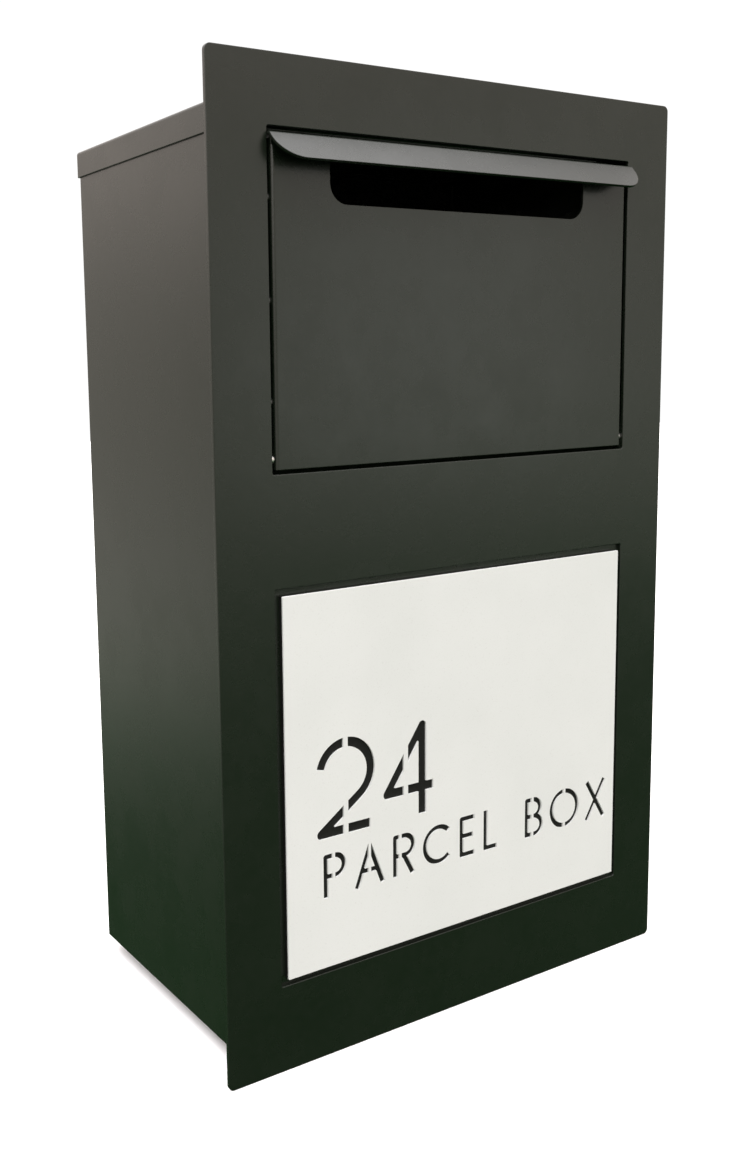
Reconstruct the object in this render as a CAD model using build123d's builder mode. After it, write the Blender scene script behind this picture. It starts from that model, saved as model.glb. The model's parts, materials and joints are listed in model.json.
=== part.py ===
from build123d import *
from math import asin, cos, degrees, radians, sin, sqrt, tan
import os

# Build-in parcel drop box: a folded sheet-steel box behind a fascia that covers the
# edge of the hole in a wall.  A pull-down hopper with a letter slot fills the upper
# window, a cut-out number plate fills the lower one, and a lockable door is at the rear.
#
# +X is to the right seen from the street, +Y into the wall, +Z up.  The origin is the
# middle of the underside of the base, which rests on the masonry.

# ---- fascia ----
fascia_w = 430.0          # width of the fascia
fascia_h = 708.0          # height of the fascia
fascia_t = 3.0            # fascia plate
fascia_corner = 4.5       # corner radius
cut_corner = 1.5          # corner radius of the windows
edge_round = 0.5          # softened front edges
margin_side = 45.0        # fascia beside the windows
margin_bottom = 65.0      # fascia below the lower window
margin_top = 46.5         # fascia above the upper window
plate_window_h = 289.0    # lower window
band = 79.0               # fascia between the windows

# ---- body ----
body_depth = 240.0        # from the back of the fascia to the rear face
sheet = 1.5               # body sheet
bend = 2.5                # outer radius of a fold in the body sheet
lip_side = 18.0           # how far the fascia stands out past the body
lip_bottom = 13.0
lip_top = 28.0
flange = 20.0             # front and rear flanges of the side panels
return_depth = 11.0       # turned-in edge of the rear flange
upturn = 20.0             # upturned edges of the base
cap_skirt = 20.0          # skirt of the top cap
cap_flange = 15.0         # front flange of the top cap
header_h = 46.0           # rear header, below the top of the body
fixing_r = 3.5            # holes in the base for the anchor bolts
fixing_x = 260.0
fixing_y = 140.0

# ---- hopper door ----
door_t = 2.0              # door skin
door_gap = 3.0            # round the sides and the bottom of the door
door_gap_top = 4.0
door_return = 14.0        # side returns of the door skin
slot_w = 240.0            # letter slot
slot_h = 36.0
slot_drop = 7.5           # from the top of the door to the slot
slot_corner = 14.0        # lower corners of the slot
hood_angle = 49.0         # fall of the hood, from horizontal
hood_len = 22.5           # straight part of the hood
hood_bend = 1.5           # inner radius of the hood's fold
hood_corner = 20.0        # outer corners of the hood
hood_clear = 0.5          # between the hood's ends and the face of the fascia
pivot_back = 5.2          # hopper axis behind the face of the door
pivot_up = 7.0            # hopper axis above the lower edge of the door
pin_r = 2.0
running = 0.05            # radial clearance of a turning fit
clear = 0.3               # clearance between pieces that pass each other
open_angle = 60.0         # travel of the hopper
cheek_t = 1.5             # cheeks and chute
cheek_top_clear = 13.0    # cheek arc to the top of the window
cheek_rear_clear = 45.0   # cheek arc to the rear face
chute_fall = 45.0         # fall of the chute when the hopper is shut
chute_drop = 6.0          # hopper axis above the underside of the chute
chute_flange = 30.0
stop_inset = 40.0         # stop stud inside the cheek's arc
stop_stud_r = 2.5
buffer_r = 5.0
rivet_r = 2.0
rivet_head_r = 3.5
rivet_head_t = 0.8
spacer_r = 3.2
ear_t = 2.5               # hinge bracket
ear_deep = 16.0
ear_half = 11.0
rail_drop = 12.5          # stop rail below the top edge of the window
rail_back = 14.0          # stop face behind the front of the rail
rail_rise = 3.5           # step of the rail above the top edge of the window
pad_r = 4.0               # rubber pads on the stop rail

# ---- fasteners on the fascia ----
stud_r = 2.5
stud_len = 12.0
stud_hole = 0.25          # radial clearance of the holes
nut_af = 8.0
nut_t = 4.0
stud_end = 45.0           # end studs from the ends of the side flanges
stud_pitch = 120.0        # studs along the top, the base and the plate backing

# ---- number plate ----
plate_margin = 5.0        # gap round the number plate
plate_t = 1.5
plate_corner = 0.6
plate_edge = 0.3          # softened front edge of the plate
plate_proud = 2.0         # face of the plate in front of the face of the fascia
backing_clear = 0.5       # backing to the side flanges
backing_over = 24.0       # backing beyond the top and bottom of the window
digit_w = 51.0
digit_h = 72.5
digit_stroke = 7.4
digit_gap = 8.5
digit_rise = 98.0         # foot of the digits above the bottom of the plate
digit_in = 26.0           # digits from the left of the plate
digit_bridge = 4.0        # bridges that hold the islands of the cut-outs
word_h = 33.0
word_stroke = 4.0
word_gap = 7.6
word_rise = 53.0
word_in = 31.0
word_bridge = 2.2

# ---- rear door ----
rear_gap = 3.0
rear_deep = 10.0          # depth of the rear door's edges
hinge_r = 2.5             # barrel
hinge_pin_r = 1.5
hinge_leaf = 18.0
hinge_leaf_t = 1.0
hinge_h = 70.0
hinge_end = 110.0         # hinge centres from the ends of the door
stiff_deep = 8.0
stiff_w = 40.0
stiff_below = 38.75       # stiffener below the upper hinge
lock_in = 24.0            # lock axis from the free edge of the door
lock_r = 9.5
lock_head_r = 12.0
lock_head_t = 3.0
lock_nut_af = 24.0
lock_nut_t = 4.0
plug_r = 6.0
plug_proud = 0.4
tang_r = 3.0
cam_t = 2.0
cam_r = 8.0
cam_len = 38.0
keyway_w = 1.6
keyway_h = 7.0
keyway_deep = 8.0
screw_head_r = 5.0
screw_head_t = 2.2
stop_t = 2.0              # stop strips beside the rear door
stop_w = 15.0
stop_end_gap = 2.0        # ends of the strips from the ends of the door
stop_clear = 2.0          # ends of the strips from the sweep of the lock's cam


def row_of(count, pitch):
    """Evenly spaced positions about zero."""
    return [(index - (count - 1) / 2) * pitch for index in range(count)]


# ---- worked out from the values above ----
body_w = fascia_w - 2 * lip_side
body_h = fascia_h - lip_bottom - lip_top
half_w = body_w / 2
y_wall = -body_depth / 2
y_front = y_wall - fascia_t
y_rear = body_depth / 2
window_w = fascia_w - 2 * margin_side
half_window = window_w / 2
z_plate = margin_bottom - lip_bottom
z_band = z_plate + plate_window_h
z_window = z_band + band
z_window_top = fascia_h - lip_bottom - margin_top
flange_x = half_w - flange

half_door = half_window - door_gap
z_door = z_window + door_gap
z_door_top = z_window_top - door_gap_top
y_door_back = y_front + door_t
pivot_y = y_front + pivot_back
pivot_z = z_door + pivot_up
pivot = (pivot_y, pivot_z)
cheek_x = half_door - door_t
cheek_in = cheek_x - cheek_t
cheek_r = min(z_window_top - pivot_z - cheek_top_clear, y_rear - pivot_y - cheek_rear_clear)
ear_x = half_window
z_slot_top = z_door_top - slot_drop

cheek_rivet_places = [(y_front + door_return / 2 + 1, pivot_z + cheek_r * share)
                      for share in (0.2, 0.55, 0.9)]

stop_r = cheek_r - stop_inset
stop_angle = open_angle + degrees(asin((y_wall - pivot_y + buffer_r + 0.2) / stop_r))
stop_y = pivot_y + stop_r * sin(radians(stop_angle))
stop_z = pivot_z + stop_r * cos(radians(stop_angle))

fall_y = cos(radians(chute_fall))
fall_z = -sin(radians(chute_fall))
chute_run = sqrt(cheek_r ** 2 - chute_drop ** 2)
chute_end_y = pivot_y + chute_drop * fall_z + chute_run * fall_y
chute_end_z = pivot_z - chute_drop * fall_y + chute_run * fall_z
chute_fold = (y_door_back - pivot_y - chute_drop * fall_z) / fall_y
chute_fold_z = pivot_z - chute_drop * fall_y + chute_fold * fall_z

rear_x = flange_x - rear_gap
rear_z = upturn + rear_gap
rear_top = body_h - header_h - rear_gap
hinge_x = -(flange_x - rear_gap / 2)
hinge_y = y_rear + hinge_r
hinge_levels = [rear_z + hinge_end, rear_top - hinge_end]
rivet_rows = [z + shift for z in hinge_levels for shift in row_of(3, hinge_h / 3)]
frame_rivet_places = [(hinge_x - hinge_leaf + rivet_head_r + 1, z) for z in rivet_rows]
door_rivet_places = [(hinge_x + hinge_leaf - rivet_head_r - 1, z) for z in rivet_rows]
lock_x = rear_x - lock_in
lock_z = (rear_z + rear_top) / 2
y_return = y_rear - return_depth
y_cam = y_return - clear
strip_low = rear_z + stop_end_gap
strip_top = rear_top - stop_end_gap
strip_spans = [(strip_low, lock_z - cam_len - stop_clear), (lock_z + cam_r + stop_clear, strip_top)]

plate_w = window_w - 2 * plate_margin
y_plate = y_front - plate_proud
y_liner = y_plate + plate_t
plate_low = z_plate + plate_margin
plate_high = z_band - plate_margin


def facing_front(y):
    """A plane that faces the street at depth y: local x is +X and local y is +Z."""
    return Plane(origin=(0, y, 0), x_dir=(1, 0, 0), z_dir=(0, -1, 0))


def facing_right(x):
    """A plane that faces +X: local x is +Y and local y is +Z."""
    return Plane(origin=(x, 0, 0), x_dir=(0, 1, 0), z_dir=(1, 0, 0))


def folded(points, radius, thickness, side):
    """The section of a folded sheet: one face follows the points, with rounded folds."""
    with BuildSketch() as section:
        with BuildLine():
            FilletPolyline(*points, radius=radius)
            offset(amount=thickness, side=side)
        make_face()
    return section.sketch


def block(low, high, mode=Mode.ADD):
    """A box between its lowest and highest corners."""
    centre = [(a + b) / 2 for a, b in zip(low, high)]
    with Locations(tuple(centre)):
        Box(*[b - a for a, b in zip(low, high)], mode=mode)


def rods(low, high, places, radius, mode=Mode.ADD):
    """Round rods along X between two depths, at (y, z) places."""
    with BuildSketch(facing_right(low)) as ends:
        with Locations(*places):
            Circle(radius)
    extrude(ends.sketch, amount=high - low, mode=mode)


def posts(front, rear, places, radius, mode=Mode.ADD):
    """Round posts along Y between two depths, at (x, z) places."""
    with BuildSketch(facing_front(front)) as ends:
        with Locations(*places):
            Circle(radius)
    extrude(ends.sketch, amount=front - rear, mode=mode)


os.makedirs("parts", exist_ok=True)

# ---- positions of the fascia studs ----
z_cap_stud = body_h - sheet - (cap_flange - sheet) / 2
z_base_stud = upturn / 2 + sheet / 2
z_backing = [z_plate - backing_over / 2, z_band + backing_over / 2]
side_levels = [stud_end, (stud_end + pivot_z) / 2, pivot_z]
side_levels += [(pivot_z + body_h - stud_end) / 2, body_h - stud_end]
stud_x = flange_x + flange / 2
side_studs = [(side * stud_x, z) for side in (-1, 1) for z in side_levels]
cap_studs = [(x, z_cap_stud) for x in row_of(3, stud_pitch)]
base_studs = [(x, z_base_stud) for x in row_of(3, stud_pitch)]
backing_studs = [(x, z) for x in row_of(3, stud_pitch) for z in z_backing]


def stud_holes(points, front=y_wall, thickness=sheet):
    """Clearance holes for the fascia's studs through a sheet whose front is given."""
    posts(front, front + thickness, points, stud_r + stud_hole, Mode.SUBTRACT)


# ================= fixed pieces =================

# Fascia: a plate with two windows.
with BuildPart() as fascia:
    with BuildSketch(facing_front(y_wall)):
        with Locations((0, fascia_h / 2 - lip_bottom)):
            RectangleRounded(fascia_w, fascia_h, fascia_corner)
        with Locations((0, (z_plate + z_band) / 2)):
            RectangleRounded(window_w, plate_window_h, cut_corner, mode=Mode.SUBTRACT)
        with Locations((0, (z_window + z_window_top) / 2)):
            RectangleRounded(window_w, z_window_top - z_window, cut_corner, mode=Mode.SUBTRACT)
    extrude(amount=fascia_t)
    fillet(fascia.faces().sort_by(Axis.Y)[0].edges(), edge_round)
fascia.part.label = "fascia"
export_step(fascia.part, "parts/fascia.step")

# Weld studs on the back of the fascia, and their nuts.
with BuildPart() as fascia_studs:
    posts(y_wall, y_wall + stud_len, side_studs + cap_studs + base_studs + backing_studs, stud_r)
    chamfer(fascia_studs.faces().group_by(Axis.Y)[-1].edges(), 0.4)
fascia_studs.part.label = "fascia_studs"
export_step(fascia_studs.part, "parts/fascia_studs.step")


def nuts_on(points, y):
    """Hex nuts that sit on a face at depth y."""
    with BuildSketch(facing_front(y)) as outlines:
        with Locations(*points):
            RegularPolygon(nut_af / 2, 6, major_radius=False)
            Circle(stud_r, mode=Mode.SUBTRACT)
    extrude(outlines.sketch, amount=-nut_t)


bracket_studs = [point for point in side_studs if point[1] == pivot_z]
flange_studs = [point for point in side_studs if point[1] != pivot_z]
with BuildPart() as fascia_nuts:
    nuts_on(flange_studs + base_studs + backing_studs, y_wall + sheet)
    nuts_on(cap_studs, y_wall + 2 * sheet)
    nuts_on(bracket_studs, y_wall + sheet + ear_t)
fascia_nuts.part.label = "fascia_nuts"
export_step(fascia_nuts.part, "parts/fascia_nuts.step")

# Side panels: one folded sheet each, with a front flange behind the fascia and a rear
# flange that ends in a turned-in edge.  The edge stops short of the base and the header.
with BuildPart() as side_right:
    with BuildSketch(Plane.XY):
        add(folded([(flange_x, y_wall), (half_w, y_wall), (half_w, y_rear),
                    (flange_x, y_rear), (flange_x, y_return)], bend, sheet, Side.LEFT))
    extrude(amount=body_h - bend)
    for low, high in ((0, upturn + sheet), (rear_top, body_h - bend)):
        block((flange_x - bend, y_return, low), (flange_x + bend, y_rear - sheet, high), Mode.SUBTRACT)
        block((flange_x, y_rear - sheet, low), (flange_x + bend, y_rear, high))
    stud_holes(side_studs)
side_right.part.label = "side_right"
export_step(side_right.part, "parts/side_right.step")

# The left panel also carries the rear door's hinges.
with BuildPart() as side_left:
    mirror(side_right.part, about=Plane.YZ)
    posts(y_rear - sheet, y_rear, frame_rivet_places, rivet_r, Mode.SUBTRACT)
side_left.part.label = "side_left"
export_step(side_left.part, "parts/side_left.step")

# Base: folded up at the front and rear between the flanges, and beside the side panels.
base_half = half_w - sheet
base_y = y_rear - sheet
with BuildPart() as base_pan:
    with BuildSketch(facing_right(-flange_x)):
        add(folded([(y_wall, upturn), (y_wall, 0), (y_rear, 0), (y_rear, upturn)],
                   bend, sheet, Side.LEFT))
    extrude(amount=2 * flange_x)
    block((-base_half, -base_y, 0), (base_half, base_y, sheet))
    block((-base_half, -base_y, 0), (sheet - base_half, base_y, upturn))
    block((base_half - sheet, -base_y, 0), (base_half, base_y, upturn))
    for corners in (0, -1):
        fillet(base_pan.edges().filter_by(Axis.Z).group_by(Axis.X)[corners], bend)
    with BuildSketch(Plane.XY):
        with GridLocations(fixing_x, fixing_y, 2, 2):
            Circle(fixing_r)
    extrude(amount=sheet, mode=Mode.SUBTRACT)
    stud_holes(base_studs)
base_pan.part.label = "base_pan"
export_step(base_pan.part, "parts/base_pan.step")

# Top cap: a lid with skirts over the sides and the rear, and a flange behind the fascia.
with BuildPart() as top_cap:
    block((-half_w - sheet, y_wall, body_h - cap_skirt), (half_w + sheet, y_rear + sheet, body_h))
    fillet(top_cap.edges().filter_by(Axis.Z).group_by(Axis.Y)[-1], bend)
    fillet(top_cap.faces().sort_by(Axis.Z)[-1].edges().sort_by(Axis.Y)[1:], bend)
    offset(amount=-sheet, openings=[top_cap.faces().sort_by(Axis.Z)[0],
                                    top_cap.faces().sort_by(Axis.Y)[0]])
    block((clear - flange_x, y_wall, body_h - cap_flange),
          (flange_x - clear, y_wall + sheet, body_h - sheet / 2))
    stud_holes(cap_studs)
top_cap.part.label = "top_cap"
export_step(top_cap.part, "parts/top_cap.step")

# Rear header: closes the rear between the side flanges, below the cap.
z_header = body_h - header_h
with BuildPart() as rear_header:
    with BuildSketch(facing_right(-flange_x)):
        add(folded([(y_return, z_header), (y_rear, z_header), (y_rear, body_h - sheet),
                    (y_rear - flange, body_h - sheet)], bend, sheet, Side.LEFT))
    extrude(amount=2 * flange_x)
rear_header.part.label = "rear_header"
export_step(rear_header.part, "parts/rear_header.step")

# Backing sheet behind the lower window.
with BuildPart() as plate_backing:
    block((backing_clear - flange_x, y_wall, z_plate - backing_over),
          (flange_x - backing_clear, y_wall + sheet, z_band + backing_over))
    stud_holes(backing_studs)
plate_backing.part.label = "plate_backing"
export_step(plate_backing.part, "parts/plate_backing.step")

# Black liner between the backing and the number plate; it shows through the cut-outs.
with BuildPart() as plate_liner:
    block((-plate_w / 2, y_liner, plate_low), (plate_w / 2, y_wall, plate_high))
    fillet(plate_liner.edges().filter_by(Axis.Y), plate_corner)
plate_liner.part.label = "plate_liner"
export_step(plate_liner.part, "parts/plate_liner.step")

# ---- number plate: generic digits and a generic word, cut right through ----
# Each stroke is given in a box one unit wide and high, as its ends, or as its ends with
# a middle point for an arc.  The last item places the bridges across a character.
strokes = {
    "2": ([((0, 0.74), (0.7945, 0.938), (0.795, 0.371)), ((0.795, 0.371), (0, 0)),
           ((0, 0), (1, 0))], [0.5]),
    "4": ([((0.76, 0), (0.76, 1)), ((0.76, 1), (0, 0.27)), ((0, 0.27), (1, 0.27))], [0.4]),
    "P": ([((0, 0), (0, 1)), ((0, 1), (0.55, 1)), ((0.55, 1), (1, 0.74), (0.55, 0.48)),
           ((0.55, 0.48), (0, 0.48))], [0.45]),
    "A": ([((0, 0), (0.5, 1)), ((0.5, 1), (1, 0)), ((0.18, 0.35), (0.82, 0.35))], [0.5]),
    "R": ([((0, 0), (0, 1)), ((0, 1), (0.55, 1)), ((0.55, 1), (1, 0.74), (0.55, 0.48)),
           ((0.55, 0.48), (0, 0.48)), ((0.5, 0.48), (1, 0))], [0.3]),
    "C": ([((0.94, 0.83), (0, 0.5), (0.94, 0.17))], []),
    "E": ([((0, 0), (0, 1)), ((0, 1), (1, 1)), ((0, 0.52), (0.9, 0.52)), ((0, 0), (1, 0))], []),
    "L": ([((0, 1), (0, 0)), ((0, 0), (1, 0))], []),
    "B": ([((0, 0), (0, 1)), ((0, 1), (0.5, 1)), ((0.5, 1), (0.9, 0.76), (0.5, 0.52)),
           ((0, 0.52), (0.55, 0.52)), ((0.55, 0.52), (1, 0.26), (0.55, 0)),
           ((0.55, 0), (0, 0))], [0.4]),
    "O": ([((0.5, 0), (0, 0.5), (0.5, 1)), ((0.5, 1), (1, 0.5), (0.5, 0))], [0.5]),
    "X": ([((0, 0), (1, 1)), ((0, 1), (1, 0))], []),
}
word_widths = {"P": 20, "A": 28, "R": 21, "C": 29, "E": 17, "L": 16, " ": 13, "B": 20,
               "O": 33, "X": 24}


def cut_character(letter, x, z, width, height, stroke, bridge):
    """One character, cut through the plate: its traced strokes, rounded where two of them
    meet, less the bridges.  The free ends of upright strokes reach half a stroke further, to
    the outer edges of the level ones."""
    lines, bridges = strokes[letter]
    ends = [point for points in lines for point in (points[0], points[-1])]
    with BuildSketch(facing_front(y_plate)) as character:
        for points in lines:
            upright = points[0][1] != points[-1][1]
            reach = [(v - 0.5) * stroke if upright and v in (0, 1) and ends.count((u, v)) == 1 else 0
                     for u, v in points]
            places = [(x + u * width, z + v * height + more) for (u, v), more in zip(points, reach)]
            with BuildLine():
                if len(places) == 2:
                    Line(*places)
                else:
                    ThreePointArc(*places)
            trace(line_width=stroke)
        for u, v in sorted({point for point in ends if ends.count(point) > 1}):
            with Locations((x + u * width, z + v * height)):
                Circle(stroke / 2)
        for share in bridges:
            with Locations((x + share * width, z + height / 2)):
                Rectangle(bridge, height + 3 * stroke, mode=Mode.SUBTRACT)
    extrude(character.sketch, amount=-plate_t, mode=Mode.SUBTRACT)


digits_x = digit_in + digit_stroke / 2 - plate_w / 2
digits_z = plate_low + digit_rise + digit_stroke / 2
word_x = word_in + word_stroke / 2 - plate_w / 2
word_z = plate_low + word_rise + word_stroke / 2
with BuildPart() as number_plate:
    block((-plate_w / 2, y_plate, plate_low), (plate_w / 2, y_liner, plate_high))
    fillet(number_plate.edges().filter_by(Axis.Y), plate_corner)
    fillet(number_plate.faces().sort_by(Axis.Y)[0].edges(), plate_edge)
    for place, digit in enumerate("24"):
        cut_character(digit, digits_x + place * (digit_w + digit_gap), digits_z,
                      digit_w - digit_stroke, digit_h - digit_stroke, digit_stroke, digit_bridge)
    for letter in "PARCEL BOX":
        if letter != " ":
            cut_character(letter, word_x, word_z, word_widths[letter] - word_stroke,
                          word_h - word_stroke, word_stroke, word_bridge)
        word_x += word_widths[letter] + word_gap
number_plate.part.label = "number_plate"
export_step(number_plate.part, "parts/number_plate.step")

# ---- hopper hinge ----
# Each bracket is an ear beside the window, welded to a leg that lies on the side flange.
leg_y = y_wall + sheet
with BuildPart() as bracket_left:
    block((-ear_x - ear_t, y_wall, pivot_z - ear_half),
          (-ear_x, y_wall + ear_deep, pivot_z + ear_half))
    fillet(bracket_left.edges().filter_by(Axis.X).group_by(Axis.Y)[-1], 5)
    block((-half_w + bend, leg_y, pivot_z - ear_half),
          (-ear_x - ear_t, leg_y + ear_t, pivot_z + ear_half))
    rods(-ear_x - ear_t, -ear_x, [pivot], pin_r, Mode.SUBTRACT)
    stud_holes(bracket_studs, leg_y, ear_t)
bracket_left.part.label = "bracket_left"
export_step(bracket_left.part, "parts/bracket_left.step")

with BuildPart() as bracket_right:
    mirror(bracket_left.part, about=Plane.YZ)
bracket_right.part.label = "bracket_right"
export_step(bracket_right.part, "parts/bracket_right.step")

with BuildPart() as hopper_pins:
    rods(cheek_in, ear_x + ear_t, [pivot], pin_r)
    mirror(about=Plane.YZ)
hopper_pins.part.label = "hopper_pins"
export_step(hopper_pins.part, "parts/hopper_pins.step")

with BuildPart() as hopper_spacers:
    rods(half_door + clear, ear_x - clear, [pivot], spacer_r)
    rods(half_door, ear_x, [pivot], pin_r, Mode.SUBTRACT)
    mirror(about=Plane.YZ)
hopper_spacers.part.label = "hopper_spacers"
export_step(hopper_spacers.part, "parts/hopper_spacers.step")

# Stop rail: fixed to the cap's flange and stepped back behind the top of the door, with
# two rubber pads.
z_fold = z_door_top - hood_bend - door_t
rail_half = cheek_in - 3
rail_y = y_wall + sheet
rail_face = rail_y + rail_back
rail_step = z_window_top + rail_rise
rail_low = z_window_top - rail_drop
with BuildPart() as stop_rail:
    with BuildSketch(facing_right(-rail_half)):
        add(folded([(rail_y, body_h - 2 * sheet), (rail_y, rail_step), (rail_face, rail_step),
                    (rail_face, rail_low)], bend, sheet, Side.LEFT))
    extrude(amount=2 * rail_half)
    stud_holes(cap_studs, rail_y)
stop_rail.part.label = "stop_rail"
export_step(stop_rail.part, "parts/stop_rail.step")

pad_places = [(side * (rail_half - 3 * pad_r), z_fold - pad_r) for side in (-1, 1)]
with BuildPart() as stop_pads:
    posts(y_door_back + clear, rail_face, pad_places, pad_r)
stop_pads.part.label = "stop_pads"
export_step(stop_pads.part, "parts/stop_pads.step")

# ================= hopper =================

# Door skin: folded back at the sides, and folded forward and down at the top as a hood.
fold_run = hood_bend * tan(radians((90 + hood_angle) / 2))
z_knee = z_fold + fold_run
lip = fold_run + hood_len
hood_tip = (y_front - lip * cos(radians(hood_angle)), z_knee - lip * sin(radians(hood_angle)))
with BuildPart() as door_skin:
    with BuildSketch(facing_right(-half_window)):
        add(folded([(y_front, z_fold - 4), (y_front, z_knee), hood_tip], hood_bend, door_t, Side.RIGHT))
    extrude(amount=window_w)
    tip_corners = [edge for edge in door_skin.edges().sort_by(Axis.Y)[:4] if edge.length < 1.1 * door_t]
    fillet(tip_corners, min(hood_corner, hood_len - 1))
    block((half_door, y_front - hood_clear, z_door), (fascia_w, y_wall, z_window_top), Mode.SUBTRACT)
    block((-fascia_w, y_front - hood_clear, z_door), (-half_door, y_wall, z_window_top), Mode.SUBTRACT)
    with BuildSketch(Plane.XY.offset(z_door)):
        add(folded([(-half_door, y_front + door_return), (-half_door, y_front),
                    (half_door, y_front), (half_door, y_front + door_return)],
                   bend, door_t, Side.LEFT))
    extrude(amount=z_fold - z_door)
    with BuildSketch(facing_front(y_front)) as slot:
        with Locations((0, z_slot_top - slot_h / 2)):
            Rectangle(slot_w, slot_h)
        fillet(slot.vertices().group_by(Axis.Y)[0], slot_corner)
    extrude(amount=-door_t, mode=Mode.SUBTRACT)
    rods(-half_door, half_door, [pivot], pin_r + running, Mode.SUBTRACT)
    rods(-half_door, half_door, cheek_rivet_places, rivet_r, Mode.SUBTRACT)
door_skin.part.label = "door_skin"
export_step(door_skin.part, "parts/door_skin.step")

# Cheeks: sectors about the hinge axis that close the sides of the hopper.
sweep = 90 + chute_fall
y_cheek = y_front + bend
cheek_foot_z = chute_fold_z - (y_cheek - y_door_back) * tan(radians(chute_fall))
arc_start = (pivot_y, pivot_z + cheek_r)
arc_middle = (pivot_y + cheek_r * sin(radians(sweep / 2)), pivot_z + cheek_r * cos(radians(sweep / 2)))
with BuildPart() as cheek_left:
    with BuildSketch(facing_right(-cheek_x)):
        with BuildLine():
            Polyline(arc_start, (y_cheek, pivot_z + cheek_r), (y_cheek, cheek_foot_z),
                     (chute_end_y, chute_end_z))
            ThreePointArc(arc_start, arc_middle, (chute_end_y, chute_end_z))
        make_face()
    extrude(amount=cheek_t)
    rods(-cheek_x, -cheek_in, [pivot], pin_r + running, Mode.SUBTRACT)
    rods(-cheek_x, -cheek_in, cheek_rivet_places, rivet_r, Mode.SUBTRACT)
    rods(-cheek_x, -cheek_in, [(stop_y, stop_z)], stop_stud_r, Mode.SUBTRACT)
cheek_left.part.label = "cheek_left"
export_step(cheek_left.part, "parts/cheek_left.step")

with BuildPart() as cheek_right:
    mirror(cheek_left.part, about=Plane.YZ)
cheek_right.part.label = "cheek_right"
export_step(cheek_right.part, "parts/cheek_right.step")

# Chute: folded sheet between the cheeks.
with BuildPart() as chute:
    with BuildSketch(facing_right(-cheek_in)):
        add(folded([(y_door_back, chute_fold_z + chute_flange), (y_door_back, chute_fold_z),
                    (chute_end_y, chute_end_z)], bend, cheek_t, Side.LEFT))
    extrude(amount=2 * cheek_in)
    lip_edges = chute.edges().filter_by(Axis.X).group_by(Axis.Y)[-1]
    fillet(lip_edges, cheek_t / 3)
chute.part.label = "chute"
export_step(chute.part, "parts/chute.step")

# Rivets that join the cheeks to the returns of the door skin.
with BuildPart() as cheek_rivets:
    rods(cheek_in - rivet_head_t, half_door + rivet_head_t, cheek_rivet_places, rivet_r)
    rods(cheek_in - rivet_head_t, cheek_in, cheek_rivet_places, rivet_head_r)
    rods(half_door, half_door + rivet_head_t, cheek_rivet_places, rivet_head_r)
    mirror(about=Plane.YZ)
cheek_rivets.part.label = "cheek_rivets"
export_step(cheek_rivets.part, "parts/cheek_rivets.step")

# Stop studs on the cheeks, with rubber sleeves that meet the back of the fascia.
stop_place = [(stop_y, stop_z)]
stop_end = flange_x - 1
with BuildPart() as stop_studs:
    rods(cheek_in, stop_end, stop_place, stop_stud_r)
    rods(cheek_in - rivet_head_t, cheek_in, stop_place, rivet_head_r + 1)
    mirror(about=Plane.YZ)
stop_studs.part.label = "stop_studs"
export_step(stop_studs.part, "parts/stop_studs.step")

with BuildPart() as stop_buffers:
    rods(cheek_x, stop_end, stop_place, buffer_r)
    rods(cheek_x, stop_end, stop_place, stop_stud_r, Mode.SUBTRACT)
    mirror(about=Plane.YZ)
stop_buffers.part.label = "stop_buffers"
export_step(stop_buffers.part, "parts/stop_buffers.step")

# ================= rear door =================

# Rear door: a shallow pan that fills the opening between the flanges.
y_pan = y_rear - rear_deep
with BuildPart() as rear_door:
    block((-rear_x, y_pan, rear_z), (rear_x, y_rear, rear_top))
    fillet(rear_door.edges().filter_by(Axis.Y), bend)
    fillet(rear_door.faces().sort_by(Axis.Y)[-1].edges(), bend)
    offset(amount=-sheet, openings=[rear_door.faces().sort_by(Axis.Y)[0]])
    posts(y_rear - sheet, y_rear, [(lock_x, lock_z)], lock_r, Mode.SUBTRACT)
    posts(y_rear - sheet, y_rear, door_rivet_places, rivet_r, Mode.SUBTRACT)
rear_door.part.label = "rear_door"
export_step(rear_door.part, "parts/rear_door.step")

# Stiffener: a hat section across the inside of the rear door, between the stop strips.
y_inner = y_rear - sheet
z_stiff = hinge_levels[-1] - stiff_below
stiff_half = flange_x + sheet - stop_w - clear
hat = [(z_stiff + side * half, y) for side, half, y in
       ((-1, stiff_w / 2 + 10, y_inner), (-1, stiff_w / 2, y_inner),
        (-1, stiff_w / 2 - 3, y_inner - stiff_deep), (1, stiff_w / 2 - 3, y_inner - stiff_deep),
        (1, stiff_w / 2, y_inner), (1, stiff_w / 2 + 10, y_inner))]
with BuildPart() as rear_stiffener:
    with BuildSketch(facing_right(-stiff_half)):
        add(folded([(y, z) for z, y in hat], sheet + 0.3, sheet, Side.LEFT))
    extrude(amount=2 * stiff_half)
rear_stiffener.part.label = "rear_stiffener"
export_step(rear_stiffener.part, "parts/rear_stiffener.step")

# Stop strips behind the edges of the rear door, with rubber pads on the lock's side.
with BuildPart() as rear_stop_strips:
    for low, high in strip_spans:
        block((flange_x + sheet - stop_w, y_return - stop_t, low), (flange_x + sheet, y_return, high))
    block((-flange_x - sheet, y_return - stop_t, strip_low),
          (stop_w - flange_x - sheet, y_return, strip_top))
    inner_corners = rear_stop_strips.edges().filter_by(Axis.Y).filter_by(
        lambda edge: abs(edge.center().X) < flange_x)
    fillet(inner_corners, 3)
rear_stop_strips.part.label = "rear_stop_strips"
export_step(rear_stop_strips.part, "parts/rear_stop_strips.step")

with BuildPart() as rear_stop_pads:
    pads = [(rear_x - 2 * sheet, z) for z in hinge_levels]
    posts(y_return, y_pan - clear, pads, pad_r)
rear_stop_pads.part.label = "rear_stop_pads"
export_step(rear_stop_pads.part, "parts/rear_stop_pads.step")

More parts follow.
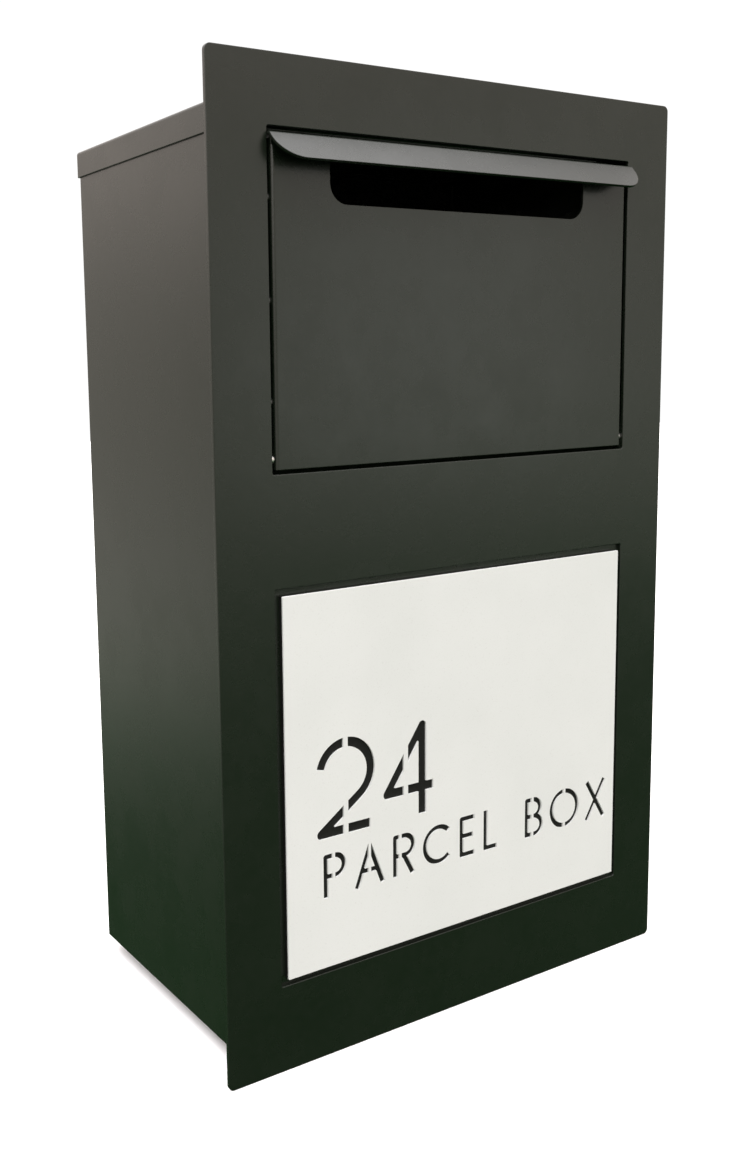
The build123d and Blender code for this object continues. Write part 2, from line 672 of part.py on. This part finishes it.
# Hinges: five-part barrels turned into knuckles, the outer two of three on the frame.
third = hinge_h / 3


def knuckle(z, height, direction):
    """A barrel knuckle with its leaf; direction is the side that the leaf points to."""
    with BuildSketch(Plane.XY.offset(z)) as section:
        with Locations((hinge_x, hinge_y)):
            Circle(hinge_r)
        with Locations((hinge_x + direction * hinge_leaf / 2, y_rear + hinge_leaf_t / 2)):
            Rectangle(hinge_leaf, hinge_leaf_t)
        with Locations((hinge_x, hinge_y)):
            Circle(hinge_pin_r, mode=Mode.SUBTRACT)
    extrude(section.sketch, amount=height)


def bare_leaf(z, direction):
    """The flat of a leaf, clear of the barrel over its whole height."""
    near = hinge_x + direction * (hinge_r + clear)
    far = hinge_x + direction * hinge_leaf
    block((min(near, far), y_rear, z - hinge_h / 2),
          (max(near, far), y_rear + hinge_leaf_t, z + hinge_h / 2))


with BuildPart() as rear_hinge_fixed:
    for z in hinge_levels:
        knuckle(z - hinge_h / 2, third - clear, -1)
        knuckle(z + hinge_h / 2 - third + clear, third - clear, -1)
        bare_leaf(z, -1)
    posts(y_rear, y_rear + hinge_leaf_t, frame_rivet_places, rivet_r, Mode.SUBTRACT)
rear_hinge_fixed.part.label = "rear_hinge_fixed"
export_step(rear_hinge_fixed.part, "parts/rear_hinge_fixed.step")

with BuildPart() as rear_hinge_moving:
    for z in hinge_levels:
        knuckle(z - third / 2, third, 1)
        bare_leaf(z, 1)
    for z in hinge_levels:
        with BuildSketch(Plane.XY.offset(z - third / 2)) as bore:
            with Locations((hinge_x, hinge_y)):
                Circle(hinge_pin_r + running)
        extrude(bore.sketch, amount=third, mode=Mode.SUBTRACT)
    posts(y_rear, y_rear + hinge_leaf_t, door_rivet_places, rivet_r, Mode.SUBTRACT)
rear_hinge_moving.part.label = "rear_hinge_moving"
export_step(rear_hinge_moving.part, "parts/rear_hinge_moving.step")

with BuildPart() as rear_hinge_pins:
    for z in hinge_levels:
        with BuildSketch(Plane.XY.offset(z - hinge_h / 2 - 0.8)) as pin_end:
            with Locations((hinge_x, hinge_y)):
                Circle(hinge_pin_r)
        extrude(pin_end.sketch, amount=hinge_h + 0.8)
        with BuildSketch(Plane.XY.offset(z + hinge_h / 2)) as pin_head:
            with Locations((hinge_x, hinge_y)):
                Circle(hinge_r)
        extrude(pin_head.sketch, amount=1.2)
rear_hinge_pins.part.label = "rear_hinge_pins"
export_step(rear_hinge_pins.part, "parts/rear_hinge_pins.step")

# Rivets of the hinge leaves: the shank passes the leaf and the sheet.
with BuildPart() as frame_rivets:
    posts(y_rear - sheet, y_rear + hinge_leaf_t, frame_rivet_places, rivet_r)
    posts(y_rear + hinge_leaf_t, y_rear + hinge_leaf_t + rivet_head_t, frame_rivet_places, rivet_head_r)
    posts(y_rear - sheet - rivet_head_t, y_rear - sheet, frame_rivet_places, rivet_head_r)
frame_rivets.part.label = "frame_rivets"
export_step(frame_rivets.part, "parts/frame_rivets.step")

with BuildPart() as door_rivets:
    posts(y_rear - sheet, y_rear + hinge_leaf_t, door_rivet_places, rivet_r)
    posts(y_rear + hinge_leaf_t, y_rear + hinge_leaf_t + rivet_head_t, door_rivet_places, rivet_head_r)
    posts(y_rear - sheet - rivet_head_t, y_rear - sheet, door_rivet_places, rivet_head_r)
door_rivets.part.label = "door_rivets"
export_step(door_rivets.part, "parts/door_rivets.step")

# ---- cam lock ----
lock_place = [(lock_x, lock_z)]
y_housing_end = y_cam + clear
with BuildPart() as lock_housing:
    posts(y_housing_end, y_rear, lock_place, lock_r)
    posts(y_rear, y_rear + lock_head_t, lock_place, lock_head_r)
    chamfer(lock_housing.faces().sort_by(Axis.Y)[-1].edges(), 0.8)
    posts(y_housing_end, y_rear + lock_head_t, lock_place, plug_r + running, Mode.SUBTRACT)
lock_housing.part.label = "lock_housing"
export_step(lock_housing.part, "parts/lock_housing.step")

with BuildPart() as lock_nut:
    with BuildSketch(facing_front(y_inner - lock_nut_t)):
        with Locations(*lock_place):
            RegularPolygon(lock_nut_af / 2, 6, major_radius=False)
            Circle(lock_r, mode=Mode.SUBTRACT)
    extrude(amount=-lock_nut_t)
lock_nut.part.label = "lock_nut"
export_step(lock_nut.part, "parts/lock_nut.step")

y_plug = y_rear + lock_head_t + plug_proud
with BuildPart() as lock_plug:
    posts(y_cam, y_plug, lock_place, plug_r)
    posts(y_cam - cam_t, y_cam, lock_place, tang_r)
    chamfer(lock_plug.faces().sort_by(Axis.Y)[-1].edges(), 0.4)
    block((lock_x - keyway_w / 2, y_plug - keyway_deep, lock_z - keyway_h / 2),
          (lock_x + keyway_w / 2, y_plug, lock_z + keyway_h / 2), Mode.SUBTRACT)
lock_plug.part.label = "lock_plug"
export_step(lock_plug.part, "parts/lock_plug.step")

# The cam hangs down while the door is unlocked.
with BuildPart() as lock_cam:
    with BuildSketch(facing_front(y_cam)):
        with Locations((lock_x, lock_z - (cam_len - cam_r) / 2)):
            SlotOverall(cam_len + cam_r, 2 * cam_r, rotation=90)
        with Locations(*lock_place):
            Circle(tang_r, mode=Mode.SUBTRACT)
    extrude(amount=cam_t)
lock_cam.part.label = "lock_cam"
export_step(lock_cam.part, "parts/lock_cam.step")

with BuildPart() as cam_screw:
    posts(y_cam - cam_t - screw_head_t, y_cam - cam_t, lock_place, screw_head_r)
    chamfer(cam_screw.faces().sort_by(Axis.Y)[0].edges(), 0.5)
    with BuildSketch(facing_front(y_cam - cam_t - screw_head_t)):
        with Locations(*lock_place):
            RegularPolygon(screw_head_r / 2, 6)
    extrude(amount=-screw_head_t / 2, mode=Mode.SUBTRACT)
cam_screw.part.label = "cam_screw"
export_step(cam_screw.part, "parts/cam_screw.step")
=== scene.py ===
import json
import math

import bpy
from mathutils import Matrix, Vector


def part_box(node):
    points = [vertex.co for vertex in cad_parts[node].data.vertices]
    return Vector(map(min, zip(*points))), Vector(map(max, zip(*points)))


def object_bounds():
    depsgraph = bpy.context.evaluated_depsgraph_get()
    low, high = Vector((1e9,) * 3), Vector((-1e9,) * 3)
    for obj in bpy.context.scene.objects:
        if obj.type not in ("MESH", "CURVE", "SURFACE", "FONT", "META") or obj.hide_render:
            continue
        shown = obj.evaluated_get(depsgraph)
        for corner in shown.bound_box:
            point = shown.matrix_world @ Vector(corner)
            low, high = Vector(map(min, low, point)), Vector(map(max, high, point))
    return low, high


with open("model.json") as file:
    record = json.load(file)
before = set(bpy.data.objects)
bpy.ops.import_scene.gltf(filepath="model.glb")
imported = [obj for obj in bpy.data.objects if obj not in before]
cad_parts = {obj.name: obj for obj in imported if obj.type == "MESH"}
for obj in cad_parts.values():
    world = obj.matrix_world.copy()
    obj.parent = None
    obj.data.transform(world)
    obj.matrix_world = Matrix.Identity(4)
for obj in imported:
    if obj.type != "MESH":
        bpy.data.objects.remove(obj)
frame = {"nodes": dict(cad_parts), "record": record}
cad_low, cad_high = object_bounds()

# A build-in parcel drop box in near-black powder coat with a white number plate.  The
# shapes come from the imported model; this script gives each piece its finish, and sets
# the floor, the light and the camera.  All lengths are in metres.

nodes = frame["nodes"]


# ---------------------------------------------------------------- material helpers

# The colour sockets of a Mix node, whose other sockets have the same names.
MIX_FIRST, MIX_SECOND, MIX_RESULT = 6, 7, 2
# Nearly all the values of a noise texture lie between these.
NOISE_LOW, NOISE_HIGH = 0.3, 0.7


def add_node(tree, kind, **settings):
    node = tree.nodes.new(kind)
    for key, value in settings.items():
        setattr(node, key, value)
    return node


class Shader:
    """A small helper that builds one material's node tree."""

    def __init__(self, name):
        self.material = bpy.data.materials.new(name)
        self.material.use_nodes = True
        self.tree = self.material.node_tree
        self.bsdf = self.tree.nodes["Principled BSDF"]
        self.place = self.add("ShaderNodeTexCoord").outputs["Object"]

    def add(self, kind, **settings):
        return add_node(self.tree, kind, **settings)

    def link(self, source, target):
        self.tree.links.new(source, target)

    def set(self, **values):
        """Set sockets of the shader that are the same all over the surface."""
        for key, value in values.items():
            self.bsdf.inputs[key.replace("_", " ")].default_value = value

    def stretched(self, scale):
        """Object coordinates scaled along each axis."""
        mapping = self.add("ShaderNodeMapping")
        mapping.inputs["Scale"].default_value = scale
        self.link(self.place, mapping.inputs["Vector"])
        return mapping.outputs["Vector"]

    def noise(self, scale, detail=2.0, roughness=0.5, vector=None):
        """Cloudy noise: scale is about how many clouds there are to a metre."""
        node = self.add("ShaderNodeTexNoise")
        node.inputs["Scale"].default_value = scale
        node.inputs["Detail"].default_value = detail
        node.inputs["Roughness"].default_value = roughness
        self.link(vector or self.place, node.inputs["Vector"])
        return node.outputs["Fac"]

    def spread(self, value, to_low, to_high, from_low=NOISE_LOW, from_high=NOISE_HIGH):
        """Map a value from one range to another, without going past its ends."""
        node = self.add("ShaderNodeMapRange")
        for key, number in zip(("From Min", "From Max", "To Min", "To Max"),
                               (from_low, from_high, to_low, to_high)):
            node.inputs[key].default_value = number
        self.link(value, node.inputs["Value"])
        return node.outputs["Result"]

    def mix(self, factor, first, second):
        """Blend two colours, each a tuple or another node's output."""
        node = self.add("ShaderNodeMix", data_type="RGBA")
        self.link(factor, node.inputs["Factor"])
        for socket, colour in ((node.inputs[MIX_FIRST], first), (node.inputs[MIX_SECOND], second)):
            if isinstance(colour, tuple):
                socket.default_value = (*colour, 1.0)
            else:
                self.link(colour, socket)
        return node.outputs[MIX_RESULT]

    def bump(self, height, distance, strength=1.0, after=None):
        node = self.add("ShaderNodeBump")
        node.inputs["Distance"].default_value = distance
        node.inputs["Strength"].default_value = strength
        self.link(height, node.inputs["Height"])
        if after:
            self.link(after, node.inputs["Normal"])
        return node.outputs["Normal"]

    def rounded(self, radius, samples):
        """The surface's direction with its edges shaded as if they were rounded."""
        node = self.add("ShaderNodeBevel", samples=samples)
        node.inputs["Radius"].default_value = radius
        return node.outputs["Normal"]

    def finish(self, colour, roughness, normal=None):
        for key, output in (("Base Color", colour), ("Roughness", roughness), ("Normal", normal)):
            if output:
                self.link(output, self.bsdf.inputs[key])
        return self.material


# ---------------------------------------------------------------- materials

def powder_coat():
    """Near-black powder coat: a faint orange peel, and soft clouds in gloss and shade."""
    deep = (0.0068, 0.0112, 0.0064)
    lighter = (0.0086, 0.0130, 0.0080)
    fleck = (0.0120, 0.0155, 0.0110)
    s = Shader("powder_coat")
    cloud = s.noise(scale=9.0, detail=3.0, roughness=0.55)
    mottle = s.noise(scale=140.0, detail=4.0, roughness=0.6)
    shade = s.mix(s.spread(cloud, 0.0, 1.0), deep, lighter)
    shade = s.mix(s.spread(mottle, 0.0, 0.5, from_low=0.35, from_high=0.75), shade, fleck)
    gloss = s.spread(s.noise(scale=24.0, detail=5.0, roughness=0.6), 0.23, 0.31)
    edges = s.rounded(radius=0.0007, samples=6)
    peel = s.bump(s.noise(scale=420.0), distance=0.00006, strength=0.5, after=edges)
    grain = s.bump(s.noise(scale=1900.0), distance=0.00003, strength=0.4, after=peel)
    s.set(Specular_IOR_Level=0.5)
    return s.finish(shade, gloss, grain)


def plate_white():
    """Matt off-white powder coat with a fine dark speckle."""
    cool = (0.745, 0.765, 0.755)
    bright = (0.785, 0.802, 0.795)
    fleck = (0.50, 0.50, 0.48)
    s = Shader("plate_white")
    cloud = s.noise(scale=12.0, detail=3.0)
    shade = s.mix(s.spread(cloud, 0.0, 1.0), cool, bright)
    speckle = s.noise(scale=900.0, detail=3.0, roughness=0.7)
    shade = s.mix(s.spread(speckle, 0.0, 0.35, from_low=0.60, from_high=0.72), shade, fleck)
    gloss = s.spread(s.noise(scale=300.0, detail=3.0), 0.48, 0.62)
    grain = s.bump(s.noise(scale=700.0, detail=3.0), distance=0.00006, strength=0.6)
    return s.finish(shade, gloss, grain)


def zinc_steel():
    """Bright zinc plating with fine drawn streaks and cloudy patches."""
    dull = (0.56, 0.56, 0.54)
    bright = (0.70, 0.69, 0.65)
    s = Shader("zinc_steel")
    patch = s.noise(scale=180.0, detail=3.0)
    shade = s.mix(s.spread(patch, 0.0, 1.0), dull, bright)
    streak = s.noise(90.0, detail=4.0, roughness=0.6, vector=s.stretched((1.0, 12.0, 12.0)))
    s.set(Metallic=1.0)
    gloss = s.spread(streak, 0.24, 0.42)
    return s.finish(shade, gloss, s.bump(streak, distance=0.00002, strength=0.4))


def lock_chrome():
    """Plated zinc casting, polished, with faint handling marks."""
    worn = (0.66, 0.66, 0.67)
    polished = (0.76, 0.76, 0.77)
    s = Shader("lock_chrome")
    marks = s.noise(260.0, detail=5.0, roughness=0.65, vector=s.stretched((1.0, 1.0, 5.0)))
    shade = s.mix(s.spread(marks, 0.0, 1.0), worn, polished)
    s.set(Metallic=1.0)
    gloss = s.spread(marks, 0.10, 0.26, from_low=0.35, from_high=0.75)
    return s.finish(shade, gloss, s.bump(marks, distance=0.00001, strength=0.3))


def rubber_black():
    """Matt black rubber with a fine moulded grain."""
    black = (0.014, 0.014, 0.014)
    dusty = (0.045, 0.044, 0.042)
    s = Shader("rubber_black")
    dust = s.noise(scale=120.0, detail=4.0)
    shade = s.mix(s.spread(dust, 0.0, 0.5, from_low=0.45, from_high=0.8), black, dusty)
    gloss = s.spread(s.noise(scale=500.0), 0.72, 0.9)
    grain = s.bump(s.noise(scale=1500.0), distance=0.00004, strength=0.5)
    return s.finish(shade, gloss, grain)


def liner_black():
    """Matt black sheet that shows through the cut-outs: a few pale specks of dust."""
    black = (0.0065, 0.0070, 0.0060)
    dusty = (0.050, 0.050, 0.048)
    s = Shader("liner_black")
    dust = s.noise(scale=700.0, detail=3.0, roughness=0.7)
    shade = s.mix(s.spread(dust, 0.0, 0.35, from_low=0.66, from_high=0.78), black, dusty)
    s.set(Specular_IOR_Level=0.25)
    gloss = s.spread(s.noise(scale=350.0), 0.60, 0.75)
    grain = s.bump(s.noise(scale=900.0), distance=0.00003, strength=0.5)
    return s.finish(shade, gloss, grain)


def dress(makers):
    """Give each CAD node the material of its slot in the record."""
    made = {}
    for subpart in frame["record"]["subparts"]:
        slot = subpart["material_slot"]
        if slot not in made:
            made[slot] = makers[slot]()
        piece = nodes[subpart["node"]]
        piece.data.materials.clear()
        piece.data.materials.append(made[slot])


dress({"powder_coat": powder_coat, "plate_white": plate_white, "zinc_steel": zinc_steel,
       "lock_chrome": lock_chrome, "rubber_black": rubber_black, "liner_black": liner_black})


# ---------------------------------------------------------------- floor

FLOOR_SIZE = 14.0


def pale_floor():
    """Pale grey paint with very faint, wide clouds."""
    pale = (0.90, 0.90, 0.90)
    paler = (0.92, 0.92, 0.92)
    s = Shader("floor_paint")
    shade = s.mix(s.spread(s.noise(scale=1.5, detail=3.0), 0.0, 1.0), pale, paler)
    s.set(Specular_IOR_Level=0.2)
    return s.finish(shade, s.spread(s.noise(scale=6.0), 0.75, 0.85))


def floor(height):
    """A floor that takes a shadow, but isn't mirrored by the dark coat and gives it no light."""
    bpy.ops.mesh.primitive_plane_add(size=FLOOR_SIZE, location=(0, 0, height))
    plane = bpy.context.object
    plane.name = "floor"
    plane.data.materials.append(pale_floor())
    plane.visible_glossy = False
    plane.visible_diffuse = False


# ---------------------------------------------------------------- light

# The two inputs of the Mix Shader node that chooses what a ray sees.
OTHER_RAYS, CAMERA_RAYS = 1, 2
# Strength of the white behind the box, a little over 1 so that it shows as pure white.
BACKDROP = 1.05
# The light from the surroundings, from straight below (0) through level (0.5) to straight up
# (1).  Its axis leans, so that it is darker on the right.
SKY_STRENGTH = 4.0
SKY_AXIS = (-0.13, 0.0, 0.992)
SKY = [
    (0.0, (0.0, 0.0, 0.0)),            # dark ground
    (0.27, (0.006, 0.026, 0.007)),     # green ground further off
    (0.350, (0.008, 0.025, 0.009)),
    (0.375, (0.066, 0.092, 0.064)),    # the edge of the ground
    (0.405, (0.178, 0.182, 0.152)),
    (0.44, (0.188, 0.180, 0.162)),     # warm grey about the level
    (0.50, (0.165, 0.152, 0.135)),
    (0.56, (0.180, 0.164, 0.149)),
    (0.61, (0.370, 0.322, 0.296)),     # lighter above it
    (0.80, (0.370, 0.348, 0.345)),
    (0.90, (0.990, 0.960, 0.975)),     # bright overhead
    (1.0, (1.0, 1.0, 1.0)),
]


def softbox(name, place, target, width, height, power, colour):
    """A rectangular area light that faces a target.  Its power is in watts."""
    light = bpy.data.lights.new(name, "AREA")
    light.shape = "RECTANGLE"
    light.size = width
    light.size_y = height
    light.energy = power
    light.color = colour
    lamp = bpy.data.objects.new(name, light)
    bpy.context.collection.objects.link(lamp)
    lamp.location = place
    lamp.rotation_euler = (Vector(target) - Vector(place)).to_track_quat("-Z", "Y").to_euler()


def sky_colour(tree):
    """The colour of the surroundings in each direction, from the sky's bands."""
    rise = add_node(tree, "ShaderNodeVectorMath", operation="DOT_PRODUCT")
    rise.inputs[1].default_value = SKY_AXIS
    tree.links.new(add_node(tree, "ShaderNodeTexCoord").outputs["Generated"], rise.inputs[0])
    height = add_node(tree, "ShaderNodeMapRange")
    height.inputs["From Min"].default_value = -1.0
    tree.links.new(rise.outputs["Value"], height.inputs["Value"])
    ramp = add_node(tree, "ShaderNodeValToRGB")
    bands = ramp.color_ramp.elements
    for band, (place, colour) in zip((bands[0], bands[1]), (SKY[0], SKY[-1])):
        band.position = place
        band.color = (*colour, 1.0)
    for place, colour in SKY[1:-1]:
        bands.new(place).color = (*colour, 1.0)
    tree.links.new(height.outputs["Result"], ramp.inputs["Fac"])
    return ramp.outputs["Color"]


def surroundings():
    """White behind the box; as a light, bright and warm overhead and dark green below."""
    world = bpy.data.worlds.new("studio")
    world.use_nodes = True
    tree = world.node_tree
    seen = tree.nodes["Background"]
    seen.inputs["Color"].default_value = (1.0, 1.0, 1.0, 1.0)
    seen.inputs["Strength"].default_value = BACKDROP
    lit = add_node(tree, "ShaderNodeBackground")
    tree.links.new(sky_colour(tree), lit.inputs["Color"])
    lit.inputs["Strength"].default_value = SKY_STRENGTH
    choice = add_node(tree, "ShaderNodeMixShader")
    rays = add_node(tree, "ShaderNodeLightPath")
    tree.links.new(rays.outputs["Is Camera Ray"], choice.inputs["Fac"])
    tree.links.new(lit.outputs["Background"], choice.inputs[OTHER_RAYS])
    tree.links.new(seen.outputs["Background"], choice.inputs[CAMERA_RAYS])
    tree.links.new(choice.outputs["Shader"], tree.nodes["World Output"].inputs["Surface"])
    bpy.context.scene.world = world


def studio():
    """Soft surroundings, a weak key from the front left and a weaker fill from the front right."""
    bpy.context.scene.view_settings.view_transform = "Standard"
    surroundings()
    softbox("key", place=(-1.6, -2.4, 1.5), target=(0, 0, 0.40), width=1.2, height=1.0,
            power=7.0, colour=(0.93, 1.0, 1.0))
    softbox("fill", place=(1.75, -2.40, 0.60), target=(0, 0, 0.50), width=1.1, height=0.9,
            power=2.4, colour=(0.98, 1.0, 0.97))


# ---------------------------------------------------------------- camera

# Degrees from a level view straight at the fascia.
CAMERA_YAW = 31.30
CAMERA_PITCH = -7.61
CAMERA_ROLL = -1.15
# From the lower left front corner of the fascia, in widths of the fascia.
CAMERA_PLACE = (-0.889, -1.577, 1.178)
# Millimetres.
SENSOR_WIDTH = 36.0
FOCAL_LENGTH = 37.18
# How far the picture is moved off the middle of the lens, as shares of its longer side.
SHIFT_X = 0.1003
SHIFT_Y = -0.0452
NEAREST = 0.02


def camera():
    """The photograph's viewpoint: from the street, to the left, level with the hopper door."""
    yaw, pitch, roll = (math.radians(turn) for turn in (CAMERA_YAW, CAMERA_PITCH, CAMERA_ROLL))
    forward = Vector((math.sin(yaw) * math.cos(pitch), math.cos(yaw) * math.cos(pitch),
                      math.sin(pitch)))
    level = Vector((math.cos(yaw), -math.sin(yaw), 0.0))
    over = level.cross(forward)
    right = math.cos(roll) * level + math.sin(roll) * over
    up = -math.sin(roll) * level + math.cos(roll) * over
    front_low, front_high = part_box("fascia")
    fascia_width = front_high[0] - front_low[0]
    place = Vector(front_low) + fascia_width * Vector(CAMERA_PLACE)
    lens = bpy.data.cameras.new("camera")
    lens.sensor_width = SENSOR_WIDTH
    lens.lens = FOCAL_LENGTH
    lens.shift_x = SHIFT_X
    lens.shift_y = SHIFT_Y
    lens.clip_start = NEAREST
    eye = bpy.data.objects.new("camera", lens)
    bpy.context.collection.objects.link(eye)
    facing = Matrix((right, up, -forward)).transposed()
    eye.matrix_world = Matrix.Translation(place) @ facing.to_4x4()
    bpy.context.scene.camera = eye


floor(cad_low[2])
studio()
camera()
